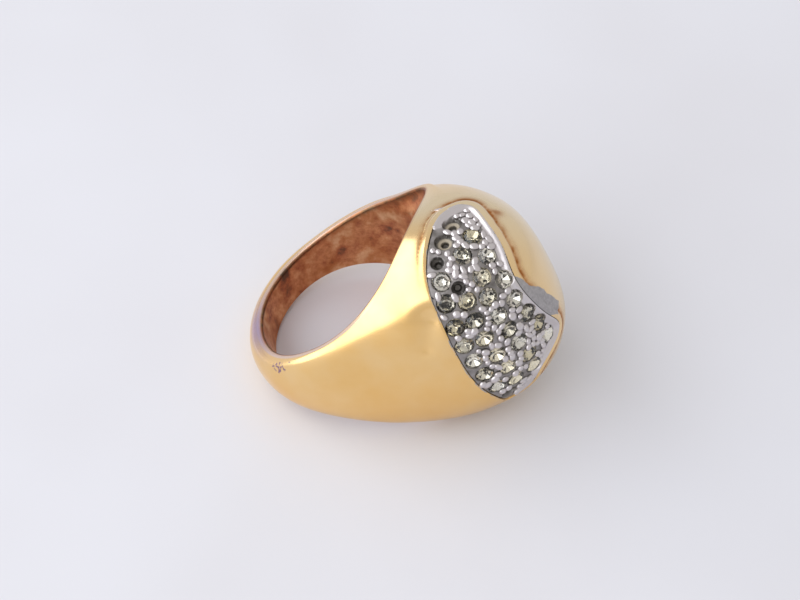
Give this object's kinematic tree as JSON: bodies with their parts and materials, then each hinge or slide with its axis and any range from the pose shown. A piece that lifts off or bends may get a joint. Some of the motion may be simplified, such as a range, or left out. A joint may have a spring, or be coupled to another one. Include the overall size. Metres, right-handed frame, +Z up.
{
  "type": "cocktail ring",
  "caption": "Domed finger ring lying on its side, with a freeform recessed plate of small faceted stones set between beads.",
  "frame": {"origin": "centre of the finger hole, on its axis at the middle of the band", "axes": "+Z up as the ring lies on its side on a table; +X level, towards the side on which the dome stands; +Y level, across the dome"},
  "size_m": [0.0281, 0.0206, 0.0183],
  "materials": {
    "gold_plate": "polished gold plate over cast brass, worn to copper-brown inside the band",
    "rhodium_plate": "bright rhodium plate, lightly tarnished",
    "stone_glass": "faceted colourless glass with a silvered foil back"
  },
  "bodies": {
    "root": {"pave_plate": "rhodium_plate", "ring_body": "gold_plate", "stone_01": "stone_glass", "stone_02": "stone_glass", "stone_03": "stone_glass", "stone_04": "stone_glass", "stone_05": "stone_glass", "stone_06": "stone_glass", "stone_07": "stone_glass", "stone_08": "stone_glass", "stone_09": "stone_glass", "stone_10": "stone_glass", "stone_11": "stone_glass", "stone_12": "stone_glass", "stone_13": "stone_glass", "stone_14": "stone_glass", "stone_15": "stone_glass", "stone_16": "stone_glass", "stone_17": "stone_glass", "stone_18": "stone_glass", "stone_19": "stone_glass", "stone_20": "stone_glass", "stone_21": "stone_glass", "stone_22": "stone_glass", "stone_23": "stone_glass", "stone_24": "stone_glass", "stone_25": "stone_glass", "stone_26": "stone_glass", "stone_27": "stone_glass", "stone_28": "stone_glass"}
  },
  "joints": []
}
